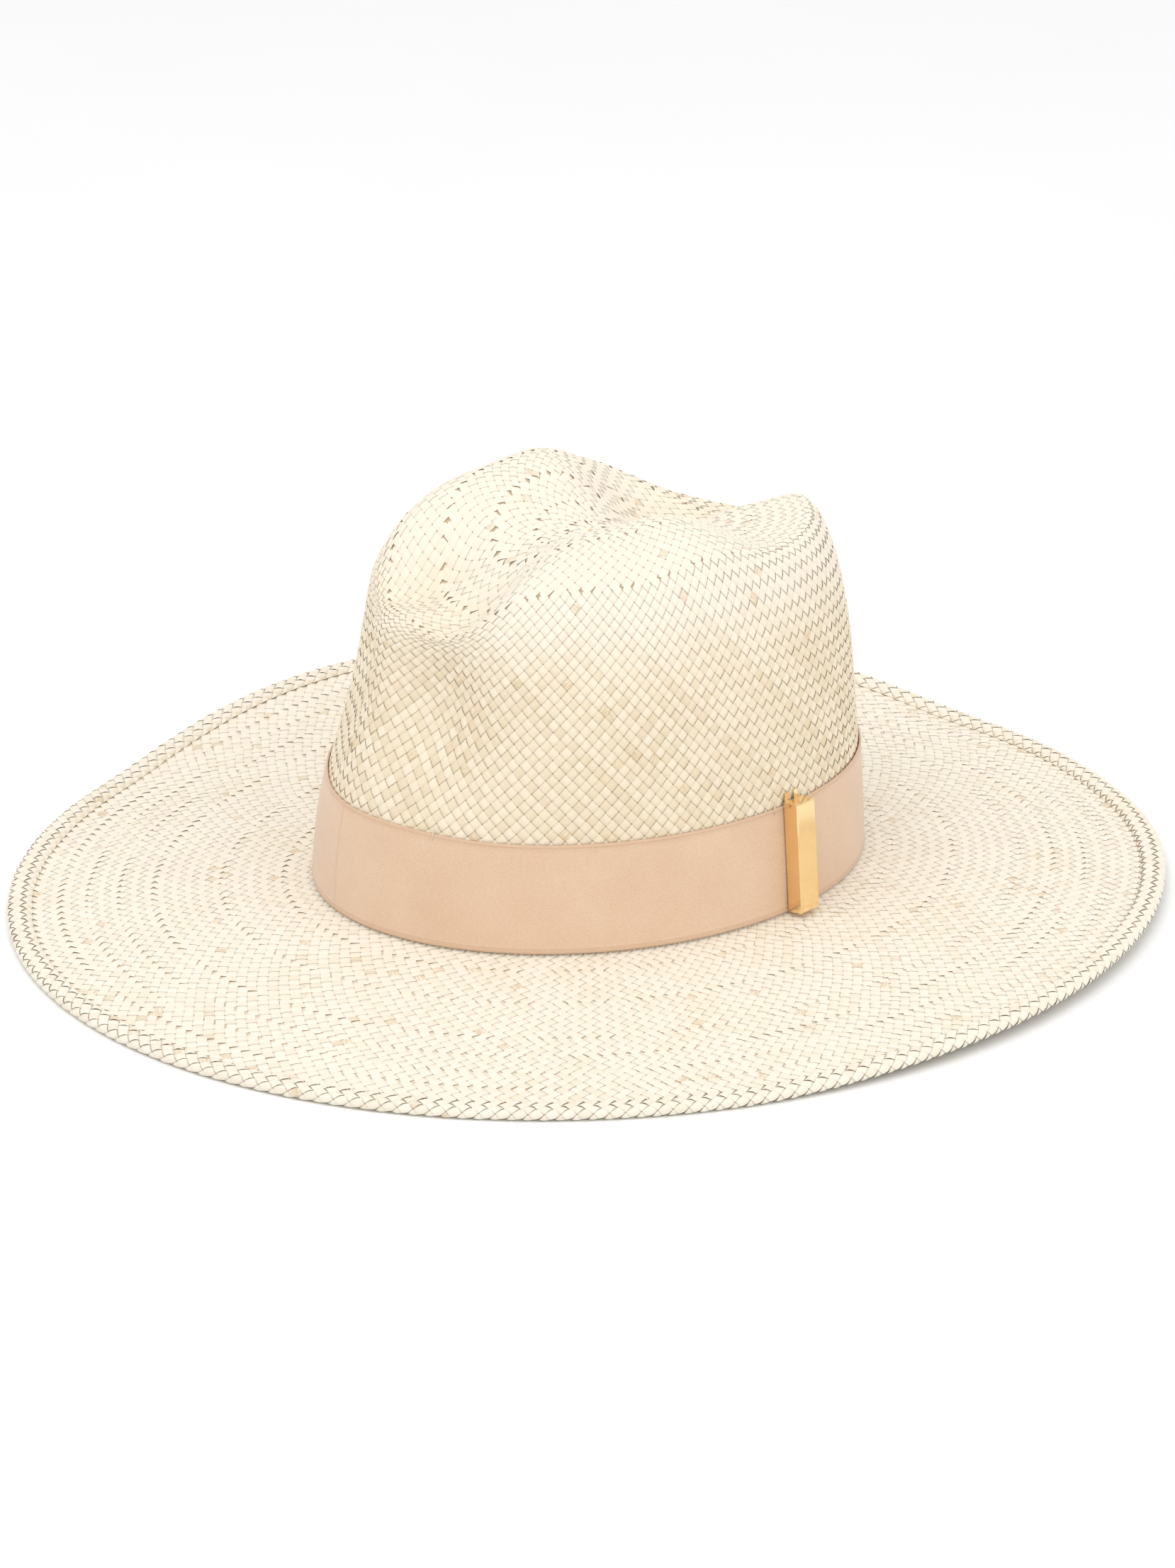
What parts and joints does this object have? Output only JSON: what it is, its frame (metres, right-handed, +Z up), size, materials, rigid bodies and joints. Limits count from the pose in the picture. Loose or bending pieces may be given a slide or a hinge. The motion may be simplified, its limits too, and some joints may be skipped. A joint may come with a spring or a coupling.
{
  "type": "panama hat",
  "caption": "Wide-brim straw hat with a creased crown, ribbon band, metal keeper bar and inner sweatband.",
  "frame": {"origin": "centre of the plane that the brim's edge rests on, below the middle of the head opening", "axes": "+Z up through the crown, -Y to the front of the hat, +X to the wearer's left"},
  "size_m": [0.3852, 0.4202, 0.1481],
  "materials": {
    "straw": "matte",
    "ribbon": "satin",
    "gold": "polished",
    "thread": "matte",
    "sweat_leather": "satin",
    "tab": "matte"
  },
  "bodies": {
    "root": {"straw_body": "straw", "edge_braid": "straw", "hatband": "ribbon", "keeper_bar": "gold", "keeper_prongs": "gold", "band_tacks": "thread", "sweatband": "sweat_leather", "sweatband_reed": "thread", "sweatband_stitches": "thread", "sweatband_bow": "ribbon", "size_tab": "tab"}
  },
  "joints": []
}
